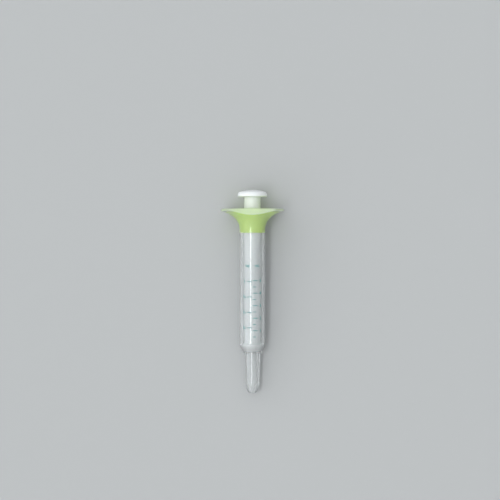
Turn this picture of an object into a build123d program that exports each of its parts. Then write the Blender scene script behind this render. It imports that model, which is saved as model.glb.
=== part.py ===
from build123d import *
import os
from math import degrees, pi

# Oral medicine syringe, in millimetres.
#
# It lies along +X: the nozzle's outlet is at the origin and the plunger's head is at the far end.
# +Z is the side that carries the printed scale. The wide flange has a flat above and a flat below,
# so the syringe can't roll, and it rests on the lower one.
# All profiles are drawn in the XZ plane, with the radius along Z, and revolved about the X axis.

os.makedirs("parts", exist_ok=True)

# --- Driving dimensions -----------------------------------------------------------------------

# Nozzle
outlet_radius = 1.2
outlet_length = 3.2
nozzle_length = 25.0
nozzle_root_radius = 4.65
nozzle_taper = 0.4  # how much thinner the nozzle is where its nose starts
nozzle_root_fillet = 0.4
nose_length = 5.5
nose_drop = 2.15  # how much the rounded nose closes in
nose_edge_fillet = 0.4
nozzle_wall = 1.65
lumen_draft = 0.5  # how much the lumen narrows on its way to the outlet
lumen_taper_length = 2.8  # cone between the lumen and the outlet hole

# Barrel
bore_radius = 6.4
barrel_wall = 1.63
bore_depth = 86.9  # bore floor to the flange's top face
floor_thickness = 2.0
collar_height = 1.0
collar_step = 2.1  # barrel's outside to the collar's
shoulder_length = 4.5
shoulder_fillet = 3.0

# Bell-mouthed flange
flange_radius = 19.6
flange_half_height = 13.5  # axis to each flat
rim_thickness = 1.5
rim_fillet = 0.5
bell_length = 13.3  # start of the flare to the flange's top face
bell_knee = 8.5  # start of the flare to where it turns outward
bell_wall = 1.35  # along the axis, at the knee
flat_wall = 1.4  # barrel's wall behind each flat
rim_width = 3.1  # flange's bare edge round the funnel

# Guide funnel
funnel_clearance = 0.05
funnel_wall = 1.2  # along the axis, at the knee
funnel_lip_width = 2.3
sleeve_length = 1.7  # sleeve's lower edge to the start of the flare
guide_land = 2.5  # start of the flare to the end of the straight guide hole
bead_radius = 0.35
bead_grip = 0.04  # how far the snap bead presses into the bore

# Plunger
stem_radius = 5.1
stem_wall = 1.3
stem_clearance = 0.1
head_radius = 9.2
head_thickness = 2.75  # at its edge
head_dome = 1.6
head_gap = 7.5  # flange's top face to the head's underside
head_floor = 2.2  # solid stretch of stem below the head
head_edge_fillet = 1.9
head_under_fillet = 0.6
head_root_fillet = 0.6

# Piston and seal
floor_gap = 0.2  # piston to bore floor, with the plunger pushed in
disc_thickness = 0.6
disc_clearance = 0.25
groove_width = 1.9
groove_depth = 1.3
spigot_length = 8.0
spigot_grip = 0.02
spigot_chamfer = 0.6
seal_clearance = 0.05
seal_waist = 0.4  # how far the seal is hollowed between its lips
lip_width = 0.5
stop_gap = 0.3  # piston to sleeve, with the plunger pulled right out

# Printed scale
teaspoon_volume = 4928.9  # cubic millimetres
millilitre_volume = 1000.0
teaspoon_parts = 4
millilitre_count = 5
ink_height = 0.04
ink_bite = 0.02  # ink keyed into the barrel's skin
line_width = 0.42
tick_gap = 0.45  # scale's middle line to each tick, round the barrel
long_tick = 2.9
short_tick = 1.7

# --- Places worked out from them ----------------------------------------------------------------

barrel_radius = bore_radius + barrel_wall
collar_radius = barrel_radius - collar_step
shoulder_x = nozzle_length + collar_height
barrel_x = shoulder_x + shoulder_length
floor_x = shoulder_x + floor_thickness
flange_x = floor_x + bore_depth
bell_x = flange_x - bell_length
nose_radius = nozzle_root_radius - nozzle_taper
tip_radius = nose_radius - nose_drop
lumen_radius = nozzle_root_radius - nozzle_wall
root_fillet = min(nozzle_root_fillet, (collar_radius - nozzle_root_radius) / 2)

mouth_radius = flange_radius - rim_width
mouth_half_height = flange_half_height - flat_wall
funnel_knee = bell_knee + bell_wall + funnel_clearance
sleeve_x = bell_x - sleeve_length
sleeve_radius = bore_radius - funnel_clearance
guide_radius = stem_radius + stem_clearance

floor_fillet = floor_gap + disc_thickness
piston_x = floor_x + floor_gap
groove_x = piston_x + disc_thickness
top_disc_x = groove_x + groove_width
stem_x = top_disc_x + disc_thickness
disc_radius = bore_radius - disc_clearance
groove_radius = disc_radius - groove_depth
stem_bore_radius = stem_radius - stem_wall
head_x = flange_x + head_gap
travel = sleeve_x - stem_x - stop_gap


def corner(sketch, x, radius):
    """The profile's corner nearest to the place given."""
    return sketch.vertices().sort_by_distance((x, radius))[0]


def keep_between_flats(half_height):
    """Trims the part to a slab of this half height about the axis."""
    with Locations((flange_x / 2, 0, 0)):
        Box(2 * flange_x, 4 * flange_radius, 2 * half_height, mode=Mode.INTERSECT)


# --- Barrel: nozzle, shoulder, tube and flange in one clear moulding ------------------------------

with BuildPart() as bore_space:
    with BuildSketch(Plane.XZ) as bore_profile:
        with BuildLine():
            Polyline(
                (0, 0),
                (0, outlet_radius),
                (outlet_length, outlet_radius),
                (outlet_length + lumen_taper_length, lumen_radius - lumen_draft),
                (floor_x, lumen_radius),
                (floor_x, bore_radius),
                (bell_x, bore_radius),
            )
            Bezier(
                (bell_x, bore_radius),
                (bell_x + bell_knee + bell_wall, bore_radius),
                (flange_x, mouth_radius),
            )
            Polyline(
                (flange_x, mouth_radius),
                (flange_x, 0),
                (0, 0),
            )
        make_face()
        fillet(corner(bore_profile, floor_x, bore_radius), radius=floor_fillet)
    revolve(axis=Axis.X)
    keep_between_flats(mouth_half_height)

with BuildPart() as barrel:
    with BuildSketch(Plane.XZ) as barrel_profile:
        with BuildLine():
            nose = TangentArc(
                (nose_length, nose_radius),
                (0, tip_radius),
                tangent=(nose_length - nozzle_length, -nozzle_taper),
            )
            Polyline(
                nose @ 0,
                (nozzle_length, nozzle_root_radius),
                (nozzle_length, collar_radius),
                (shoulder_x, collar_radius),
                (barrel_x, barrel_radius),
                (bell_x, barrel_radius),
            )
            bell = Bezier(
                (bell_x, barrel_radius),
                (bell_x + bell_knee, barrel_radius),
                (flange_x - rim_thickness, flange_radius),
            )
            Polyline(
                bell @ 1,
                (flange_x, flange_radius),
                (flange_x, 0),
                (0, 0),
                nose @ 1,
            )
        make_face()
        fillet(corner(barrel_profile, 0, tip_radius), radius=nose_edge_fillet)
        fillet(corner(barrel_profile, nozzle_length, nozzle_root_radius), radius=root_fillet)
        fillet(corner(barrel_profile, barrel_x, barrel_radius), radius=shoulder_fillet)
        fillet(corner(barrel_profile, flange_x, flange_radius), radius=rim_fillet)
        fillet(corner(barrel_profile, flange_x - rim_thickness, flange_radius), radius=rim_fillet)
    revolve(axis=Axis.X)
    keep_between_flats(flange_half_height)
    add(bore_space.part, mode=Mode.SUBTRACT)

barrel.part.label = "barrel"
export_step(barrel.part, "parts/barrel.step")


# --- Guide funnel: green liner pressed into the flange's mouth, its sleeve guides the stem --------

with BuildPart() as funnel_space:
    with BuildSketch(Plane.XZ):
        with BuildLine():
            Polyline(
                (sleeve_x, 0),
                (sleeve_x, guide_radius),
                (bell_x + guide_land, guide_radius),
            )
            Bezier(
                (bell_x + guide_land, guide_radius),
                (bell_x + funnel_knee + funnel_wall, guide_radius),
                (flange_x, mouth_radius - funnel_clearance - funnel_lip_width),
            )
            Polyline(
                (flange_x, mouth_radius - funnel_clearance - funnel_lip_width),
                (flange_x, 0),
                (sleeve_x, 0),
            )
        make_face()
    revolve(axis=Axis.X)
    keep_between_flats(mouth_half_height - funnel_clearance - funnel_wall)

with BuildPart() as guide_funnel:
    with BuildSketch(Plane.XZ):
        with BuildLine():
            Polyline(
                (sleeve_x, 0),
                (sleeve_x, sleeve_radius),
                (bell_x, sleeve_radius),
            )
            Bezier(
                (bell_x, sleeve_radius),
                (bell_x + funnel_knee, sleeve_radius),
                (flange_x, mouth_radius - funnel_clearance),
            )
            Polyline(
                (flange_x, mouth_radius - funnel_clearance),
                (flange_x, 0),
                (sleeve_x, 0),
            )
        make_face()
    revolve(axis=Axis.X)
    keep_between_flats(mouth_half_height - funnel_clearance)
    with BuildSketch(Plane.XZ):
        with Locations((sleeve_x + sleeve_length / 2, bore_radius + bead_grip - bead_radius)):
            Circle(bead_radius)
    revolve(axis=Axis.X)
    add(funnel_space.part, mode=Mode.SUBTRACT)

guide_funnel.part.label = "guide_funnel"
export_step(guide_funnel.part, "parts/guide_funnel.step")


# --- Plunger rod: hollow stem and mushroom head in one white moulding -----------------------------

with BuildPart() as plunger_rod:
    with BuildSketch(Plane.XZ) as rod_profile:
        with BuildLine():
            Polyline(
                (stem_x, stem_bore_radius),
                (stem_x, stem_radius),
                (head_x, stem_radius),
                (head_x, head_radius),
                (head_x + head_thickness, head_radius),
            )
            dome = RadiusArc(
                (head_x + head_thickness, head_radius),
                (head_x + head_thickness + head_dome, 0),
                radius=(head_radius**2 + head_dome**2) / (2 * head_dome),
            )
            Polyline(
                dome @ 1,
                (head_x - head_floor, 0),
                (head_x - head_floor, stem_bore_radius),
                (stem_x, stem_bore_radius),
            )
        make_face()
        fillet(corner(rod_profile, head_x, stem_radius), radius=head_root_fillet)
        fillet(corner(rod_profile, head_x, head_radius), radius=head_under_fillet)
        fillet(corner(rod_profile, head_x + head_thickness, head_radius), radius=head_edge_fillet)
    revolve(axis=Axis.X)

plunger_rod.part.label = "plunger_rod"
export_step(plunger_rod.part, "parts/plunger_rod.step")


# --- Piston: two discs with the seal's groove between them, on a spigot pressed into the stem -----

with BuildPart() as piston:
    with BuildSketch(Plane.XZ) as piston_profile:
        with BuildLine():
            Polyline(
                (piston_x, 0),
                (piston_x, disc_radius),
                (groove_x, disc_radius),
                (groove_x, groove_radius),
                (top_disc_x, groove_radius),
                (top_disc_x, disc_radius),
                (stem_x, disc_radius),
                (stem_x, stem_bore_radius + spigot_grip),
                (stem_x + spigot_length, stem_bore_radius + spigot_grip),
                (stem_x + spigot_length, 0),
                (piston_x, 0),
            )
        make_face()
        chamfer(corner(piston_profile, stem_x + spigot_length, stem_bore_radius), spigot_chamfer)
        chamfer(corner(piston_profile, piston_x, disc_radius), disc_thickness * 0.75)
    revolve(axis=Axis.X)

piston.part.label = "piston"
export_step(piston.part, "parts/piston.step")


# --- Piston seal: silicone ring with two lips -----------------------------------------------------

seal_x = groove_x + seal_clearance
seal_end_x = top_disc_x - seal_clearance
seal_radius = bore_radius - seal_clearance

with BuildPart() as piston_seal:
    with BuildSketch(Plane.XZ):
        with BuildLine():
            Polyline(
                (seal_x, groove_radius + seal_clearance),
                (seal_x, seal_radius),
                (seal_x + lip_width, seal_radius),
                (seal_x + lip_width, seal_radius - seal_waist),
            )
            Polyline(
                (seal_x + lip_width, seal_radius - seal_waist),
                (seal_end_x - lip_width, seal_radius - seal_waist),
                (seal_end_x - lip_width, seal_radius),
                (seal_end_x, seal_radius),
                (seal_end_x, groove_radius + seal_clearance),
                (seal_x, groove_radius + seal_clearance),
            )
        make_face()
    revolve(axis=Axis.X)

piston_seal.part.label = "piston_seal"
export_step(piston_seal.part, "parts/piston_seal.step")


# --- Dose scale: printed ticks, teaspoons on one side of the middle line, millilitres on the other --

bore_area = pi * bore_radius**2
teaspoon_ticks = [
    (teaspoon_volume * part / teaspoon_parts, tick_gap, long_tick)
    for part in range(1, teaspoon_parts + 1)
]
millilitre_ticks = [
    (millilitre_volume * half / 2, -tick_gap, -short_tick if half % 2 else -long_tick)
    for half in range(1, 2 * millilitre_count + 1)
]

with BuildPart() as dose_scale:
    for volume, start, length in teaspoon_ticks + millilitre_ticks:
        with BuildSketch(Plane.XZ.rotated((-degrees(start / barrel_radius), 0, 0))):
            with Locations((stem_x + volume / bore_area, barrel_radius + (ink_height - ink_bite) / 2)):
                Rectangle(line_width, ink_height + ink_bite)
        revolve(axis=Axis.X, revolution_arc=-degrees(length / barrel_radius))

dose_scale.part.label = "dose_scale"
export_step(dose_scale.part, "parts/dose_scale.step")

print(f"piston travel {travel:.2f} mm")
print(f"length with the plunger in {head_x + head_thickness + head_dome:.2f} mm")
print(f"capacity to the sleeve {travel * bore_area / millilitre_volume:.2f} ml")
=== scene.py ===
import math

import bmesh
import bpy
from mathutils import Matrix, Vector


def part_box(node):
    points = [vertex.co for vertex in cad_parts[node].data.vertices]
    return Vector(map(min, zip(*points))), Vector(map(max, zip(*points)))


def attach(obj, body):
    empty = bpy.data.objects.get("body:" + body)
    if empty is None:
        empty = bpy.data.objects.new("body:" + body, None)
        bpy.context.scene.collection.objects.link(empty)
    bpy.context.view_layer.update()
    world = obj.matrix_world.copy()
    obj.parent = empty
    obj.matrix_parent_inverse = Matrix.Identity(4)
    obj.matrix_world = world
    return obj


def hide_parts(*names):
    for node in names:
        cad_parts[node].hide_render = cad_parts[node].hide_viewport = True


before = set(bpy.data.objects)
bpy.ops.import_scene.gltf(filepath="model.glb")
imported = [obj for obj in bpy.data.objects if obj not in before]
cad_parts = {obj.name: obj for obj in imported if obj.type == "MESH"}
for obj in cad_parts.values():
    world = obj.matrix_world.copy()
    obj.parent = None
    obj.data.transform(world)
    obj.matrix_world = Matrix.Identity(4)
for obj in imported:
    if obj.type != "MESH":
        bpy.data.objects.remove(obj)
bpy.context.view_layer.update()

# --- Camera -------------------------------------------------------------------------------------
# It looks straight down on the printed side, with the plunger's head at the top of the view.
# The long lens keeps the barrel's sides parallel. Sizes are in millimetres throughout.

MM = 0.001
view_width = 312.5
lens = 135.0
sensor = 36.0
aim_x = 89.2
aim_y = 1.5

camera_data = bpy.data.cameras.new("camera")
camera_data.lens = lens
camera_data.sensor_width = sensor
camera_data.clip_start = 0.05
camera_data.clip_end = 50.0
camera = bpy.data.objects.new("camera", camera_data)
camera.location = Vector((aim_x, aim_y, view_width * lens / sensor)) * MM
camera.rotation_euler = (0.0, 0.0, -math.pi / 2)
bpy.context.scene.collection.objects.link(camera)
bpy.context.scene.camera = camera


# --- Barrel -------------------------------------------------------------------------------------
# The clear tube that holds the medicine, with its nozzle, shoulder and bell-mouthed flange.
# It is one injection moulding in clear styrene, polished by its mould except round the rim, on the
# flats and on the shoulder's cone. The flange is moulded with a flat above and a flat below, which
# keep the syringe from rolling.

outlet_radius = 1.2
outlet_length = 3.2
lumen_end = (6.0, 2.5)
lumen_radius = 3.0
tip_radius = 2.1
nose_start = (0.9, 2.95)
nose_knee = (2.9, 4.15)
nose_end = (5.5, 4.25)
nozzle_root = (25.0, 4.65)
collar_radius = 5.93
shoulder_x = 26.0
tube_x = 30.5
floor_x = 28.0
bore_radius = 6.4
tube_radius = 8.03
bell_x = 101.6
bell_knee_x = 110.1
bell_wall = 1.35
rim_thickness = 1.5
rim_width = 3.1
rim_draft = 0.1
rim_lip = 0.4
flat_wall = 1.4
flat_edge = 0.5
past_end = 1.0
turned_steps = 192
arc_step = 12.0
smooth_angle = 35.0

flange_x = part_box("barrel")[1].x / MM
flange_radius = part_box("barrel")[1].y / MM
flat_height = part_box("barrel")[1].z / MM


def soften(corners):
    """Outline through (x, radius, fillet) corners, each fillet drawn as short steps of an arc."""
    points = []
    for i, (x, r, fillet) in enumerate(corners):
        if not fillet:
            points.append((x, r))
            continue
        here = Vector((x, r))
        before = (Vector(corners[i - 1][:2]) - here).normalized()
        after = (Vector(corners[(i + 1) % len(corners)][:2]) - here).normalized()
        half = before.angle(after) / 2
        centre = here + (before + after).normalized() * fillet / math.sin(half)
        start = here + before * fillet / math.tan(half) - centre
        end = here + after * fillet / math.tan(half) - centre
        turn = start.angle_signed(end)
        steps = max(2, math.ceil(abs(math.degrees(turn)) / arc_step))
        for k in range(steps + 1):
            share = k / steps
            away = start * math.sin((1 - share) * abs(turn)) + end * math.sin(share * abs(turn))
            points.append(tuple(centre + away / math.sin(abs(turn))))
    return points


def bell(start, knee, end, steps=22):
    """Quadratic curve from start to end whose tangents meet at the knee."""
    curve = []
    for k in range(steps + 1):
        t = k / steps
        curve.append(tuple(
            (1 - t) ** 2 * a + 2 * t * (1 - t) * b + t ** 2 * c for a, b, c in zip(start, knee, end)
        ))
    return curve


def turned(name, outline, closed=False):
    """Mesh of an outline of (x, radius) points turned about the X axis."""
    shape = bmesh.new()
    angles = [2 * math.pi * k / turned_steps for k in range(turned_steps)]
    rings = []
    for x, r in outline:
        if r < 1e-6:
            rings.append([shape.verts.new((x * MM, 0.0, 0.0))])
            continue
        rings.append([
            shape.verts.new((x * MM, r * MM * math.cos(a), r * MM * math.sin(a))) for a in angles
        ])
    pairs = list(zip(rings, rings[1:]))
    if closed:
        pairs.append((rings[-1], rings[0]))
    for low, high in pairs:
        for k in range(turned_steps):
            after = (k + 1) % turned_steps
            corners = [low[k % len(low)], low[after % len(low)]]
            corners += [high[after % len(high)], high[k % len(high)]]
            face = list(dict.fromkeys(corners))
            if len(face) > 2:
                shape.faces.new(face)
    bmesh.ops.recalc_face_normals(shape, faces=shape.faces)
    mesh = bpy.data.meshes.new(name)
    shape.to_mesh(mesh)
    shape.free()
    return mesh


def slab(name, half_height, top_x, edge):
    """Block that trims a turned piece to its flats, with its long top edges rounded."""
    start_x = -10.0
    half_width = 30.0
    side = soften([
        (start_x, half_height, 0.0),
        (top_x, half_height, edge),
        (top_x, 0.0, 0.0),
    ])[:-1]
    side.append((top_x + past_end, half_height - edge - past_end))
    section = side + [(x, -z) for x, z in reversed(side)]
    shape = bmesh.new()
    near = [shape.verts.new((x * MM, -half_width * MM, z * MM)) for x, z in section]
    far = [shape.verts.new((x * MM, half_width * MM, z * MM)) for x, z in section]
    shape.faces.new(near)
    shape.faces.new(far)
    for k in range(len(section)):
        after = (k + 1) % len(section)
        shape.faces.new((near[k], near[after], far[after], far[k]))
    bmesh.ops.recalc_face_normals(shape, faces=shape.faces)
    mesh = bpy.data.meshes.new(name)
    shape.to_mesh(mesh)
    shape.free()
    return mesh


def combined(name, mesh, *cuts):
    """The mesh after each (operation, other mesh) of cuts."""
    piece = bpy.data.objects.new(name, mesh)
    bpy.context.scene.collection.objects.link(piece)
    tools = []
    for operation, other in cuts:
        tool = bpy.data.objects.new(name + "_tool", other)
        bpy.context.scene.collection.objects.link(tool)
        cut = piece.modifiers.new(operation, "BOOLEAN")
        cut.operation = operation
        cut.solver = "EXACT"
        cut.object = tool
        tools.append(tool)
    ready = bpy.context.evaluated_depsgraph_get()
    result = bpy.data.meshes.new_from_object(piece.evaluated_get(ready))
    for used in [piece] + tools:
        bpy.data.objects.remove(used)
    return result


def made_piece(name, mesh, material):
    """Object for a finished mesh, smooth except along its sharp edges."""
    mesh.name = name
    mesh.materials.clear()
    mesh.materials.append(material)
    mesh.shade_smooth()
    mesh.set_sharp_from_angle(angle=math.radians(smooth_angle))
    piece = bpy.data.objects.new(name, mesh)
    bpy.context.scene.collection.objects.link(piece)
    return piece


def linear(hex_colour):
    """Linear colour of an sRGB hex value."""
    shares = [int(hex_colour[k:k + 2], 16) / 255 for k in (0, 2, 4)]
    return tuple(s / 12.92 if s <= 0.04045 else ((s + 0.055) / 1.055) ** 2.4 for s in shares) + (1.0,)


def add_node(tree, kind, inputs=None, **settings):
    """Adds a node; an input is a value, or the socket that it is linked to."""
    made = tree.nodes.new(kind)
    for setting, value in settings.items():
        setattr(made, setting, value)
    for socket, value in (inputs or {}).items():
        if isinstance(value, bpy.types.NodeSocket):
            tree.links.new(value, made.inputs[socket])
        else:
            made.inputs[socket].default_value = value
    return made


def new_material(name, settings):
    """Material with these shader settings, with its node tree and its shader."""
    material = bpy.data.materials.new(name)
    material.use_nodes = True
    shader = material.node_tree.nodes["Principled BSDF"]
    for socket, value in settings.items():
        shader.inputs[socket].default_value = value
    return material, material.node_tree, shader


# Clear moulded styrene: water-clear with a faint milkiness and a bright gloss. The gloss is a
# little uneven in streaks along the tube, about 5 mm long and 1.5 mm wide, where the melt flowed.
clear_styrene, tree, surface = new_material("clear_moulded_styrene", {
    "Base Color": linear("FCFEFE"),
    "IOR": 1.46,
    "Transmission Weight": 0.9,
})
place = add_node(tree, "ShaderNodeTexCoord")
flow = add_node(tree, "ShaderNodeMapping", {
    "Vector": place.outputs["Object"],
    "Scale": (200.0, 650.0, 650.0),
})
streaks = add_node(tree, "ShaderNodeTexNoise", {
    "Vector": flow.outputs["Vector"],
    "Scale": 1.0,
    "Detail": 1.0,
})
gloss = add_node(tree, "ShaderNodeMapRange", {
    "Value": streaks.outputs["Fac"],
    "To Min": 0.055,
    "To Max": 0.07,
})
tree.links.new(gloss.outputs["Result"], surface.inputs["Roughness"])

# The same styrene with the fine satin that the mould has round the rim and on the flats: it glows
# with the light that it scatters, and blurs what is behind it. The satin's grain is 0.4 mm, which
# is coarser than a spark-eroded mould's, so that it shows.
satin_styrene, tree, surface = new_material("satin_moulded_styrene", {
    "Base Color": linear("F4FBF4"),
    "IOR": 1.46,
    "Transmission Weight": 0.66,
})
place = add_node(tree, "ShaderNodeTexCoord")
grain = add_node(tree, "ShaderNodeTexNoise", {
    "Vector": place.outputs["Object"],
    "Scale": 2500.0,
    "Detail": 1.0,
})
gloss = add_node(tree, "ShaderNodeMapRange", {
    "Value": grain.outputs["Fac"],
    "To Min": 0.28,
    "To Max": 0.42,
})
tree.links.new(gloss.outputs["Result"], surface.inputs["Roughness"])

# The same satin, clearer, on the shoulder's cone: only a little milky.
dulled_styrene = satin_styrene.copy()
dulled_styrene.name = "dulled_moulded_styrene"
surface = dulled_styrene.node_tree.nodes["Principled BSDF"]
surface.inputs["Base Color"].default_value = linear("FAFCFC")
surface.inputs["Transmission Weight"].default_value = 0.82

barrel_outside = soften([
    (0.0, 0.0, 0.0),
    (0.0, tip_radius, 0.4),
    nose_start + (0.0,),
])
barrel_outside += bell(nose_start, nose_knee, nose_end, steps=8)[1:]
barrel_outside += soften([
    nose_end + (0.0,),
    nozzle_root + (0.4,),
    (nozzle_root[0], collar_radius, 0.25),
    (shoulder_x, collar_radius, 0.6),
    (tube_x, tube_radius, 3.0),
    (bell_x, tube_radius, 0.0),
])[1:]
bell_end = (flange_x - rim_thickness, flange_radius - rim_lip)
barrel_outside += bell((bell_x, tube_radius), (bell_knee_x, tube_radius), bell_end)[1:]
barrel_outside += soften([
    bell_end + (0.0,),
    (flange_x - rim_thickness + rim_draft, flange_radius, 0.3),
    (flange_x, flange_radius, 0.5),
    (flange_x, 0.0, 0.0),
])[1:]

# The hollow is cut out as one shape, which runs past both of the barrel's ends.
barrel_inside = soften([
    (-past_end, 0.0, 0.0),
    (-past_end, outlet_radius, 0.0),
    (outlet_length, outlet_radius, 0.4),
    lumen_end + (0.8,),
    (floor_x, lumen_radius, 0.4),
    (floor_x, bore_radius, 0.8),
    (bell_x, bore_radius, 0.0),
])
mouth_radius = flange_radius - rim_width
barrel_inside += bell(
    (bell_x, bore_radius), (bell_knee_x + bell_wall, bore_radius), (flange_x, mouth_radius)
)[1:]
barrel_inside += [(flange_x + past_end, mouth_radius + 0.5), (flange_x + past_end, 0.0)]

cutter_top_x = flange_x + 3 * past_end
bore = combined(
    "bore",
    turned("bore", barrel_inside),
    ("INTERSECT", slab("bore_slab", flat_height - flat_wall, cutter_top_x, flat_edge)),
)
barrel_mesh = combined(
    "clear_barrel",
    turned("clear_barrel", barrel_outside),
    ("INTERSECT", slab("flange_slab", flat_height, flange_x, flat_edge)),
    ("DIFFERENCE", bore),
)
clear_barrel = made_piece("clear_barrel", barrel_mesh, clear_styrene)
barrel_mesh.materials.append(satin_styrene)
barrel_mesh.materials.append(dulled_styrene)

# Each finish goes on the faces within a small depth of the rim, the flats or the shoulder's cone.
flat_depth = 0.1
rim_depth = 0.5
edge_depth = 0.45
cone_depth = 0.35
cone_start_x = shoulder_x - 0.2
cone_slope = (tube_radius - collar_radius) / (tube_x - shoulder_x)
for face in barrel_mesh.polygons:
    along = face.center.x / MM
    radius = face.center.yz.length / MM
    cone_radius = collar_radius + cone_slope * (along - shoulder_x)
    on_flat = abs(face.center.z) / MM > flat_height - flat_depth
    on_rim = along > flange_x - rim_depth or radius > flange_radius - edge_depth
    on_cone = cone_start_x < along < tube_x and radius > cone_radius - cone_depth
    face.material_index = 1 if on_flat or on_rim else 2 if on_cone else 0
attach(clear_barrel, "barrel")
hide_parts("barrel")


# --- Guide funnel -------------------------------------------------------------------------------
# A lime-green liner in the flange's mouth. Its short sleeve guides the plunger's stem and stops
# the piston. It is moulded in translucent polypropylene and snaps into the bore by a small bead.
# It presses so close to the clear mouth that no air is left between, hence the bite into it.

funnel_bite = 0.03
funnel_wall = 1.2
funnel_lip = 2.3
guide_radius = 5.2
guide_land = 2.5
lead_in = 0.6
bead_start = 0.6
bead_length = 0.7
bead_swell = 0.03
sleeve_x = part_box("guide_funnel")[0].x / MM
funnel_top_x = flange_x - funnel_bite
funnel_radius = bore_radius + funnel_bite
funnel_rim = mouth_radius + funnel_bite
funnel_mouth = funnel_rim - funnel_lip
funnel_flat = flat_height - flat_wall + funnel_bite
funnel_knee_x = bell_knee_x + bell_wall - funnel_bite

# Translucent lime polypropylene: waxy, tinted all through, with a satin skin. Its colour is a
# little uneven, in clouds about 6 mm wide, as the dye spreads in the melt.
lime_plastic, tree, surface = new_material("translucent_lime_polypropylene", {
    "Roughness": 0.3,
    "IOR": 1.49,
    "Transmission Weight": 0.04,
    "Subsurface Weight": 0.2,
    "Subsurface Radius": (0.8, 1.0, 0.4),
    "Subsurface Scale": 0.001,
})
place = add_node(tree, "ShaderNodeTexCoord")
clouds = add_node(tree, "ShaderNodeTexNoise", {
    "Vector": place.outputs["Object"],
    "Scale": 160.0,
    "Detail": 2.0,
})
dye = add_node(tree, "ShaderNodeMixRGB", {
    "Fac": clouds.outputs["Fac"],
    "Color1": linear("D0F064"),
    "Color2": linear("DAFA7C"),
})
tree.links.new(dye.outputs["Color"], surface.inputs["Base Color"])

funnel_outside = soften([
    (sleeve_x, 0.0, 0.0),
    (sleeve_x, funnel_radius, 0.25),
    (sleeve_x + bead_start, funnel_radius, 0.0),
    (sleeve_x + bead_start + bead_length / 2, funnel_radius + bead_swell, 0.0),
    (sleeve_x + bead_start + bead_length, funnel_radius, 0.0),
    (bell_x, funnel_radius, 0.0),
])
funnel_outside += bell(
    (bell_x, funnel_radius),
    (funnel_knee_x, funnel_radius),
    (funnel_top_x, funnel_rim),
)[1:]
funnel_outside += [(funnel_top_x, 0.0)]
funnel_inside = soften([
    (sleeve_x - past_end, 0.0, 0.0),
    (sleeve_x - past_end, guide_radius + lead_in, 0.0),
    (sleeve_x - 0.1, guide_radius + lead_in, 0.0),
    (sleeve_x + 0.4, guide_radius, 0.3),
    (bell_x + guide_land, guide_radius, 0.0),
])
funnel_inside += bell(
    (bell_x + guide_land, guide_radius),
    (funnel_knee_x + funnel_wall, guide_radius),
    (flange_x, funnel_mouth),
)[1:]
funnel_inside += [(flange_x + past_end, funnel_mouth + 0.3), (flange_x + past_end, 0.0)]

mouth = combined(
    "mouth",
    turned("mouth", funnel_inside),
    ("INTERSECT", slab("mouth_slab", funnel_flat - funnel_wall, cutter_top_x, flat_edge)),
)
funnel_mesh = combined(
    "lime_funnel",
    turned("lime_funnel", funnel_outside),
    ("INTERSECT", slab("funnel_slab", funnel_flat, funnel_top_x, 0.3)),
    ("DIFFERENCE", mouth),
)
lime_funnel = made_piece("lime_funnel", funnel_mesh, lime_plastic)
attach(lime_funnel, "barrel")
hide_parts("guide_funnel")


# --- Plunger rod --------------------------------------------------------------------------------
# The white rod that the thumb pushes: a hollow round stem and a domed mushroom head in one
# moulding. It is moulded in opaque polypropylene, and the seal's piston is pressed into its end.

stem_radius = 5.1
stem_bore = 3.8
head_gap = 7.5
head_edge = 2.75
head_floor = 2.2
rod_start_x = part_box("plunger_rod")[0].x / MM
rod_end_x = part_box("plunger_rod")[1].x / MM
head_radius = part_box("plunger_rod")[1].y / MM
head_x = flange_x + head_gap
dome_height = rod_end_x - head_x - head_edge
dome_sphere = (head_radius ** 2 + dome_height ** 2) / (2 * dome_height)
dome_rings = (6.4, 5.4, 4.4, 3.4, 2.4, 1.4, 0.6, 0.0)

# White moulded polypropylene: satin and slightly waxy, so that light goes a little way in. A fine
# orange-peel, about 0.6 mm across, breaks up its highlights.
white_plastic, tree, surface = new_material("white_moulded_polypropylene", {
    "Base Color": linear("E5E8E8"),
    "Roughness": 0.34,
    "IOR": 1.49,
    "Subsurface Weight": 0.25,
    "Subsurface Radius": (1.0, 0.95, 0.9),
    "Subsurface Scale": 0.0015,
})
place = add_node(tree, "ShaderNodeTexCoord")
peel = add_node(tree, "ShaderNodeTexNoise", {
    "Vector": place.outputs["Object"],
    "Scale": 1700.0,
    "Detail": 2.0,
})
relief = add_node(tree, "ShaderNodeBump", {
    "Height": peel.outputs["Fac"],
    "Strength": 0.12,
    "Distance": 0.0001,
})
tree.links.new(relief.outputs["Normal"], surface.inputs["Normal"])

dome = [
    (rod_end_x - dome_sphere + math.sqrt(dome_sphere ** 2 - radius ** 2), radius)
    for radius in dome_rings
]
rod_outline = soften([
    (head_x - head_floor, 0.0, 0.0),
    (head_x - head_floor, stem_bore, 0.5),
    (rod_start_x, stem_bore, 0.1),
    (rod_start_x, stem_radius, 0.15),
    (head_x, stem_radius, 0.6),
    (head_x, head_radius, 0.6),
    (head_x + head_edge, head_radius, 1.9),
    dome[0] + (0.0,),
]) + dome[1:]
white_rod = made_piece("white_rod", turned("white_rod", rod_outline), white_plastic)
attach(white_rod, "plunger")
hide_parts("plunger_rod")


# --- Piston -------------------------------------------------------------------------------------
# Two thin discs with a groove between them, on a spigot that is pressed into the hollow stem.
# It is moulded in the same white polypropylene as the rod, left a little duller.

piston_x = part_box("piston")[0].x / MM
piston_end_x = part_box("piston")[1].x / MM
disc_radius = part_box("piston")[1].y / MM
dish_depth = 0.3
dish_radius = 3.5
disc_thickness = 0.6
groove_depth = 1.3
groove_x = piston_x + disc_thickness
top_disc_x = rod_start_x - disc_thickness
groove_radius = disc_radius - groove_depth

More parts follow.
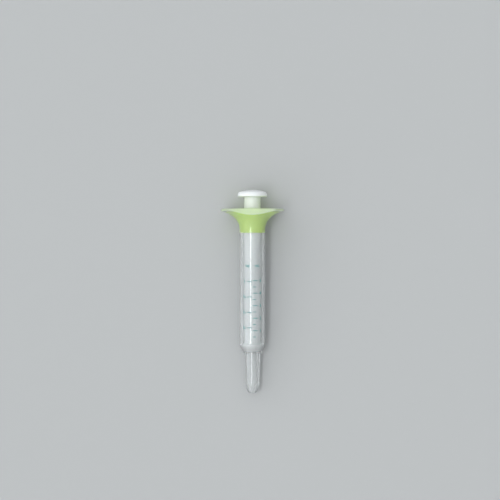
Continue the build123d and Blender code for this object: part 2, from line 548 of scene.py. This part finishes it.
# Natural polypropylene: like the rod's white, but duller and with more light going in. Its
# orange-peel is a little coarser, about 0.8 mm across.
natural_plastic, tree, surface = new_material("natural_polypropylene", {
    "Base Color": linear("E6EBEA"),
    "Roughness": 0.42,
    "IOR": 1.49,
    "Subsurface Weight": 0.4,
    "Subsurface Radius": (1.0, 1.0, 0.95),
    "Subsurface Scale": 0.0015,
})
place = add_node(tree, "ShaderNodeTexCoord")
peel = add_node(tree, "ShaderNodeTexNoise", {
    "Vector": place.outputs["Object"],
    "Scale": 1300.0,
    "Detail": 2.0,
})
relief = add_node(tree, "ShaderNodeBump", {
    "Height": peel.outputs["Fac"],
    "Strength": 0.15,
    "Distance": 0.0001,
})
tree.links.new(relief.outputs["Normal"], surface.inputs["Normal"])

piston_outline = soften([
    (piston_x + dish_depth, 0.0, 0.0),
    (piston_x + dish_depth, dish_radius - dish_depth, 0.2),
    (piston_x, dish_radius, 0.1),
    (piston_x, disc_radius, 0.4),
    (groove_x, disc_radius, 0.08),
    (groove_x, groove_radius, 0.15),
    (top_disc_x, groove_radius, 0.15),
    (top_disc_x, disc_radius, 0.12),
    (rod_start_x, disc_radius, 0.12),
    (rod_start_x, stem_bore, 0.0),
    (piston_end_x, stem_bore, 0.5),
    (piston_end_x, 0.0, 0.0),
])
disc_piston = made_piece("disc_piston", turned("disc_piston", piston_outline), natural_plastic)
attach(disc_piston, "plunger")
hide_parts("piston")


# --- Piston seal --------------------------------------------------------------------------------
# A soft silicone ring in the piston's groove. Its two rounded lips wipe the bore and keep the
# medicine in front of them.

seal_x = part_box("piston_seal")[0].x / MM
seal_end_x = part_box("piston_seal")[1].x / MM
seal_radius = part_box("piston_seal")[1].y / MM
lip_width = 0.5
lip_height = 0.4
lip_slant = 0.1
seal_gap = 0.05

# Translucent silicone: milky and soft-looking. Its dull skin is uneven in patches of about 1 mm.
silicone, tree, surface = new_material("milky_silicone", {
    "Base Color": linear("EEF2F1"),
    "IOR": 1.41,
    "Subsurface Weight": 0.6,
    "Subsurface Radius": (1.0, 1.0, 1.0),
    "Subsurface Scale": 0.001,
})
place = add_node(tree, "ShaderNodeTexCoord")
skin = add_node(tree, "ShaderNodeTexNoise", {
    "Vector": place.outputs["Object"],
    "Scale": 900.0,
})
dullness = add_node(tree, "ShaderNodeMapRange", {
    "Value": skin.outputs["Fac"],
    "To Min": 0.34,
    "To Max": 0.5,
})
tree.links.new(dullness.outputs["Result"], surface.inputs["Roughness"])

seal_outline = soften([
    (seal_x, groove_radius + seal_gap, 0.1),
    (seal_x, seal_radius, 0.2),
    (seal_x + lip_width, seal_radius, 0.2),
    (seal_x + lip_width + lip_slant, seal_radius - lip_height, 0.1),
    (seal_end_x - lip_width - lip_slant, seal_radius - lip_height, 0.1),
    (seal_end_x - lip_width, seal_radius, 0.2),
    (seal_end_x, seal_radius, 0.2),
    (seal_end_x, groove_radius + seal_gap, 0.1),
])
lip_seal = made_piece("lip_seal", turned("lip_seal", seal_outline, closed=True), silicone)
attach(lip_seal, "seal")
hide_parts("piston_seal")


# --- Printed scale ------------------------------------------------------------------------------
# Teal ink, pad-printed on the tube's front: teaspoons on one side and millilitres on the other.
# The ticks and numbers are bent round the tube, a hair proud of it.

cubic_mm_per_ml = 1000.0
teaspoon_ml = 4.9289
ink_height = 0.04
ink_bite = 0.02
line_width = 0.42
tick_gap = 0.45
long_tick = 2.9
short_tick = 1.7
number_height = 2.7
number_gap = 1.9
unit_height = 2.5
unit_ml = 6.2
unit_shift = 0.3
letter_weight = 0.04
bend_strip = 0.3
ink_radius = tube_radius + (ink_height - ink_bite) / 2
bore_area = math.pi * bore_radius ** 2

# Pad-printing ink: teal and matt. The thin film is uneven in patches of about 0.7 mm.
teal_ink, tree, surface = new_material("pad_printed_teal_ink", {"Roughness": 0.55})
place = add_node(tree, "ShaderNodeTexCoord")
film = add_node(tree, "ShaderNodeTexNoise", {
    "Vector": place.outputs["Object"],
    "Scale": 1500.0,
    "Detail": 3.0,
})
shade = add_node(tree, "ShaderNodeMixRGB", {
    "Fac": film.outputs["Fac"],
    "Color1": linear("1B7C7C"),
    "Color2": linear("379594"),
})
tree.links.new(shade.outputs["Color"], surface.inputs["Base Color"])


def tick_tree():
    """Geometry nodes that lay a row of bars along the tube and bend them round it."""
    made = bpy.data.node_groups.new("printed_ticks", "GeometryNodeTree")
    for name, kind in (
        ("First", "NodeSocketFloat"),
        ("Spacing", "NodeSocketFloat"),
        ("Count", "NodeSocketInt"),
        ("Start", "NodeSocketFloat"),
        ("Length", "NodeSocketFloat"),
        ("Width", "NodeSocketFloat"),
        ("Thickness", "NodeSocketFloat"),
        ("Radius", "NodeSocketFloat"),
        ("Material", "NodeSocketMaterial"),
    ):
        made.interface.new_socket(name, in_out="INPUT", socket_type=kind)
    made.interface.new_socket("Geometry", in_out="OUTPUT", socket_type="NodeSocketGeometry")
    given = add_node(made, "NodeGroupInput").outputs
    first = add_node(made, "ShaderNodeCombineXYZ", {"X": given["First"]})
    step = add_node(made, "ShaderNodeCombineXYZ", {"X": given["Spacing"]})
    row = add_node(made, "GeometryNodeMeshLine", {
        "Count": given["Count"],
        "Start Location": first.outputs["Vector"],
        "Offset": step.outputs["Vector"],
    })
    size = add_node(made, "ShaderNodeCombineXYZ", {
        "X": given["Width"],
        "Y": given["Length"],
        "Z": given["Thickness"],
    })
    bar = add_node(made, "GeometryNodeMeshCube", {"Size": size.outputs["Vector"], "Vertices Y": 9})
    half = add_node(made, "ShaderNodeMath", {0: given["Length"], 1: 0.5}, operation="MULTIPLY")
    middle = add_node(made, "ShaderNodeMath", {0: given["Start"], 1: half.outputs[0]}, operation="ADD")
    aside = add_node(made, "ShaderNodeCombineXYZ", {"Y": middle.outputs[0]})
    shifted = add_node(made, "GeometryNodeTransform", {
        "Geometry": bar.outputs["Mesh"],
        "Translation": aside.outputs["Vector"],
    })
    ticks = add_node(made, "GeometryNodeInstanceOnPoints", {
        "Points": row.outputs["Mesh"],
        "Instance": shifted.outputs["Geometry"],
    })
    real = add_node(made, "GeometryNodeRealizeInstances", {"Geometry": ticks.outputs["Instances"]})
    spot = add_node(made, "GeometryNodeInputPosition")
    parts = add_node(made, "ShaderNodeSeparateXYZ", {"Vector": spot.outputs["Position"]})
    angle = add_node(made, "ShaderNodeMath", {
        0: parts.outputs["Y"],
        1: given["Radius"],
    }, operation="DIVIDE")
    height = add_node(made, "ShaderNodeMath", {
        0: parts.outputs["Z"],
        1: given["Radius"],
    }, operation="ADD")
    sine = add_node(made, "ShaderNodeMath", {0: angle.outputs[0]}, operation="SINE")
    cosine = add_node(made, "ShaderNodeMath", {0: angle.outputs[0]}, operation="COSINE")
    round_y = add_node(made, "ShaderNodeMath", {
        0: sine.outputs[0],
        1: height.outputs[0],
    }, operation="MULTIPLY")
    round_z = add_node(made, "ShaderNodeMath", {
        0: cosine.outputs[0],
        1: height.outputs[0],
    }, operation="MULTIPLY")
    bent = add_node(made, "ShaderNodeCombineXYZ", {
        "X": parts.outputs["X"],
        "Y": round_y.outputs[0],
        "Z": round_z.outputs[0],
    })
    wrapped = add_node(made, "GeometryNodeSetPosition", {
        "Geometry": real.outputs["Geometry"],
        "Position": bent.outputs["Vector"],
    })
    inked = add_node(made, "GeometryNodeSetMaterial", {
        "Geometry": wrapped.outputs["Geometry"],
        "Material": given["Material"],
    })
    add_node(made, "NodeGroupOutput", {"Geometry": inked.outputs["Geometry"]})
    return made


tick_nodes = tick_tree()


def printed_row(first, spacing, count, start, length):
    """Mesh of one row of ticks; start and length run round the tube, towards +Y."""
    holder = bpy.data.objects.new("tick_row", bpy.data.meshes.new("tick_row"))
    bpy.context.scene.collection.objects.link(holder)
    rows = holder.modifiers.new("ticks", "NODES")
    rows.node_group = tick_nodes
    values = {
        "First": first * MM,
        "Spacing": spacing * MM,
        "Count": count,
        "Start": start * MM,
        "Length": length * MM,
        "Width": line_width * MM,
        "Thickness": (ink_height + ink_bite) * MM,
        "Radius": ink_radius * MM,
        "Material": teal_ink,
    }
    for socket in tick_nodes.interface.items_tree:
        if socket.in_out == "INPUT":
            rows[socket.identifier] = values[socket.name]
    holder.data.update()
    ready = bpy.context.evaluated_depsgraph_get()
    result = bpy.data.meshes.new_from_object(holder.evaluated_get(ready))
    bpy.data.objects.remove(holder)
    return result


def printed_words(text, x, middle, height):
    """Mesh of raised lettering centred at x and at middle round the tube, its top towards +X."""
    letters = bpy.data.curves.new("letters", "FONT")
    letters.body = text
    letters.size = height * MM
    letters.align_x = "CENTER"
    letters.align_y = "CENTER"
    letters.extrude = (ink_height + ink_bite) / 2 * MM
    letters.offset = letter_weight * MM
    holder = bpy.data.objects.new("letters", letters)
    bpy.context.scene.collection.objects.link(holder)
    ready = bpy.context.evaluated_depsgraph_get()
    flat = bpy.data.meshes.new_from_object(holder.evaluated_get(ready))
    bpy.data.objects.remove(holder)
    shape = bmesh.new()
    shape.from_mesh(flat)
    bmesh.ops.remove_doubles(shape, verts=shape.verts, dist=1e-7)
    strip = bend_strip * MM
    strips = math.ceil(max(abs(v.co.x) for v in shape.verts) / strip)
    for k in range(-strips, strips + 1):
        everything = shape.verts[:] + shape.edges[:] + shape.faces[:]
        bmesh.ops.bisect_plane(shape, geom=everything, plane_co=(k * strip, 0, 0), plane_no=(1, 0, 0))
    for v in shape.verts:
        out = ink_radius * MM + v.co.z
        angle = (middle * MM - v.co.x) / (tube_radius * MM)
        v.co = (x * MM + v.co.y, out * math.sin(angle), out * math.cos(angle))
    bmesh.ops.recalc_face_normals(shape, faces=shape.faces)
    shape.to_mesh(flat)
    shape.free()
    return flat


# The scale is read at the piston's top edge, which is at zero when the plunger is in.
zero_x = rod_start_x
ml_step = cubic_mm_per_ml / bore_area
teaspoon_step = teaspoon_ml * ml_step / 4
number_place = tick_gap + long_tick + number_gap
unit_place = tick_gap + long_tick - unit_shift
prints = [
    printed_row(zero_x + teaspoon_step, teaspoon_step, 4, tick_gap, long_tick),
    printed_row(zero_x + ml_step, ml_step, 5, -tick_gap - long_tick, long_tick),
    printed_row(zero_x + ml_step / 2, ml_step, 5, -tick_gap - short_tick, short_tick),
    printed_words("tsp", zero_x + unit_ml * ml_step, unit_place, unit_height),
    printed_words("mL", zero_x + unit_ml * ml_step, -unit_place, unit_height),
]
for quarter, number in enumerate(("\u00bc", "\u00bd", "\u00be", "1"), start=1):
    prints.append(printed_words(number, zero_x + teaspoon_step * quarter, number_place, number_height))
for whole in range(1, 6):
    prints.append(printed_words(str(whole), zero_x + ml_step * whole, -number_place, number_height))
joined = bmesh.new()
for mesh in prints:
    joined.from_mesh(mesh)
scale_mesh = bpy.data.meshes.new("printed_scale")
joined.to_mesh(scale_mesh)
joined.free()
printed_scale = made_piece("printed_scale", scale_mesh, teal_ink)
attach(printed_scale, "barrel")
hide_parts("dose_scale")


# --- Floor and lights ---------------------------------------------------------------------------
# A plain pale surface under the flange's lower flat and the barrel's shoulder, and soft light: a
# pale room with a long soft box nearly over the syringe, and a weak lamp to one side.

floor_drop = 0.2
shoulder_foot = (tube_x - 0.8, tube_radius - 0.1)
flange_foot = (flange_x - 0.6, flat_height)
slope = (flange_foot[1] - shoulder_foot[1]) / (flange_foot[0] - shoulder_foot[0])
floor_reach = 4000.0 * MM

floor_mesh = bpy.data.meshes.new("floor")
floor_corners = [
    (x, y, -(flange_foot[1] + floor_drop) * MM - slope * (x - flange_foot[0] * MM))
    for x, y in (
        (-floor_reach, -floor_reach),
        (floor_reach, -floor_reach),
        (floor_reach, floor_reach),
        (-floor_reach, floor_reach),
    )
]
floor_mesh.from_pydata(floor_corners, [], [(0, 1, 2, 3)])
floor = bpy.data.objects.new("floor", floor_mesh)
bpy.context.scene.collection.objects.link(floor)
floor_paint = new_material("pale_matt_paint", {
    "Base Color": linear("AEB0B0"),
    "Roughness": 0.8,
})[0]
floor_mesh.materials.append(floor_paint)

# The room's light is even all round near the floor, where it is as pale as the floor, and is
# brighter above, mostly on one side. That shades the far side of round parts softly. The soft box
# is a bright band of the ceiling over the syringe, which draws a white line along its gloss.
horizon_light = 0.62
ceiling_light = 0.42
ceiling_lean = 0.6
ceiling_start = 0.4
box_light = 7.8
box_slope = 0.3
box_half_width = 0.1
box_middle = -0.05
box_half_length = 0.3

room = bpy.data.worlds.new("pale_room")
bpy.context.scene.world = room
room.use_nodes = True
tree = room.node_tree
sky = tree.nodes["Background"]
sky.inputs["Color"].default_value = linear("F6F8FA")
way = add_node(tree, "ShaderNodeTexCoord")
heading = add_node(tree, "ShaderNodeSeparateXYZ", {"Vector": way.outputs["Generated"]})
above = add_node(tree, "ShaderNodeMapRange", {
    "Value": heading.outputs["Z"],
    "From Max": ceiling_start,
}, interpolation_type="SMOOTHSTEP")
lean = add_node(tree, "ShaderNodeMath", {
    0: heading.outputs["Y"],
    1: ceiling_lean,
    2: ceiling_light,
}, operation="MULTIPLY_ADD")
box_across = add_node(tree, "ShaderNodeMath", {
    0: heading.outputs["Y"],
    1: heading.outputs["Z"],
}, operation="DIVIDE")
box_sides = add_node(tree, "ShaderNodeMath", {
    0: box_across.outputs["Value"],
    1: box_slope,
    2: box_half_width,
}, operation="COMPARE")
box_ends = add_node(tree, "ShaderNodeMath", {
    0: heading.outputs["X"],
    1: box_middle,
    2: box_half_length,
}, operation="COMPARE")
box = add_node(tree, "ShaderNodeMath", {
    0: box_sides.outputs["Value"],
    1: box_ends.outputs["Value"],
}, operation="MULTIPLY")
ceiling = add_node(tree, "ShaderNodeMath", {
    0: box.outputs["Value"],
    1: box_light,
    2: lean.outputs["Value"],
}, operation="MULTIPLY_ADD")
glow = add_node(tree, "ShaderNodeMath", {
    0: above.outputs["Result"],
    1: ceiling.outputs["Value"],
    2: horizon_light,
}, operation="MULTIPLY_ADD")
tree.links.new(glow.outputs["Value"], sky.inputs["Strength"])

lamp_data = bpy.data.lights.new("side_lamp", "AREA")
lamp_data.size = 0.5
lamp_data.energy = 0.2
side_lamp = bpy.data.objects.new("side_lamp", lamp_data)
side_lamp.location = (0.6, 0.8, 0.5)
towards_syringe = Vector((0.065, 0.0, 0.0)) - side_lamp.location
side_lamp.rotation_euler = towards_syringe.to_track_quat("-Z", "Y").to_euler()
bpy.context.scene.collection.objects.link(side_lamp)

bpy.context.scene.view_settings.view_transform = "Standard"
